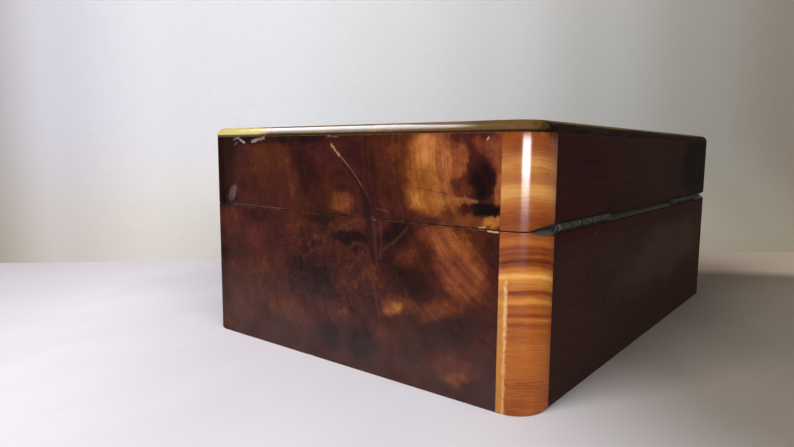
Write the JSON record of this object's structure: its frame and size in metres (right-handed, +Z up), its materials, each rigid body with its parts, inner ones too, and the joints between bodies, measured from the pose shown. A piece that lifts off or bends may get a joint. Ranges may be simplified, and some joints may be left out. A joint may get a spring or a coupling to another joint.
{
  "type": "wooden box with hinged lid",
  "caption": "Veneered rectangular wooden box with rounded corners, a hinged lid on two let-in butt hinges and a small sliding-bolt lock in the front wall.",
  "frame": {"origin": "centre of the bounding box's underside, on the surface the box stands on", "axes": "+X along the box's length, +Y towards the hinged back, +Z up; the lock is at -Y"},
  "size_m": [0.305, 0.216, 0.1225],
  "materials": {
    "flame_walnut": "figured burr walnut veneer, french polished",
    "dark_rosewood": "plain dark rosewood-coloured veneer, polished",
    "honey_banding": "honey-coloured cross-grained banding, french polished",
    "carcase_mahogany": "bare mahogany, aged",
    "aged_brass": "tarnished",
    "lock_steel": "plain, slightly dulled",
    "lining_paper": "coloured lining paper on card, faded"
  },
  "bodies": {
    "box": {"base_back_left_strip": "dark_rosewood", "base_back_right_strip": "honey_banding", "base_back_veneer": "dark_rosewood", "base_back_wall": "carcase_mahogany", "base_front_left_strip": "flame_walnut", "base_front_right_strip": "flame_walnut", "base_front_veneer": "flame_walnut", "base_front_wall": "carcase_mahogany", "base_left_veneer": "flame_walnut", "base_left_wall": "carcase_mahogany", "base_lining": "lining_paper", "base_right_veneer": "flame_walnut", "base_right_wall": "carcase_mahogany", "bottom_board": "carcase_mahogany", "escutcheon": "aged_brass", "left_hinge_base_leaf": "aged_brass", "left_hinge_base_screw_1": "aged_brass", "left_hinge_base_screw_2": "aged_brass", "left_hinge_base_screw_3": "aged_brass", "left_hinge_pin": "aged_brass", "lock_case": "lock_steel", "lock_plate": "aged_brass", "lock_plate_screw_1": "aged_brass", "lock_plate_screw_2": "aged_brass", "lock_rim_screw_1": "aged_brass", "lock_rim_screw_2": "aged_brass", "lock_spring": "lock_steel", "right_hinge_base_leaf": "aged_brass", "right_hinge_base_screw_1": "aged_brass", "right_hinge_base_screw_2": "aged_brass", "right_hinge_base_screw_3": "aged_brass", "right_hinge_pin": "aged_brass"},
    "lid": {"left_hinge_lid_leaf": "aged_brass", "left_hinge_lid_screw_1": "aged_brass", "left_hinge_lid_screw_2": "aged_brass", "left_hinge_lid_screw_3": "aged_brass", "lid_back_left_strip": "dark_rosewood", "lid_back_right_strip": "honey_banding", "lid_back_veneer": "dark_rosewood", "lid_back_wall": "carcase_mahogany", "lid_front_left_strip": "flame_walnut", "lid_front_right_strip": "flame_walnut", "lid_front_veneer": "flame_walnut", "lid_front_wall": "carcase_mahogany", "lid_left_veneer": "flame_walnut", "lid_left_wall": "carcase_mahogany", "lid_lining": "lining_paper", "lid_right_veneer": "flame_walnut", "lid_right_wall": "carcase_mahogany", "lid_top_banding": "honey_banding", "lid_top_veneer": "flame_walnut", "link_plate": "aged_brass", "link_plate_screw_1": "aged_brass", "link_plate_screw_2": "aged_brass", "right_hinge_lid_leaf": "aged_brass", "right_hinge_lid_screw_1": "aged_brass", "right_hinge_lid_screw_2": "aged_brass", "right_hinge_lid_screw_3": "aged_brass", "top_board": "carcase_mahogany"},
    "lock_bolt": {"lock_bolt": "lock_steel"}
  },
  "joints": [
    {"name": "lid_hinge", "type": "hinge", "parent": "box", "child": "lid", "pos_m": [0, 0.1057, 0.0775], "axis": [-1, 0, 0], "range_deg": [0, 96]},
    {"name": "bolt_slide", "type": "slide", "parent": "box", "child": "lock_bolt", "axis": [1, 0, 0], "range_m": [0, 0.004]}
  ]
}
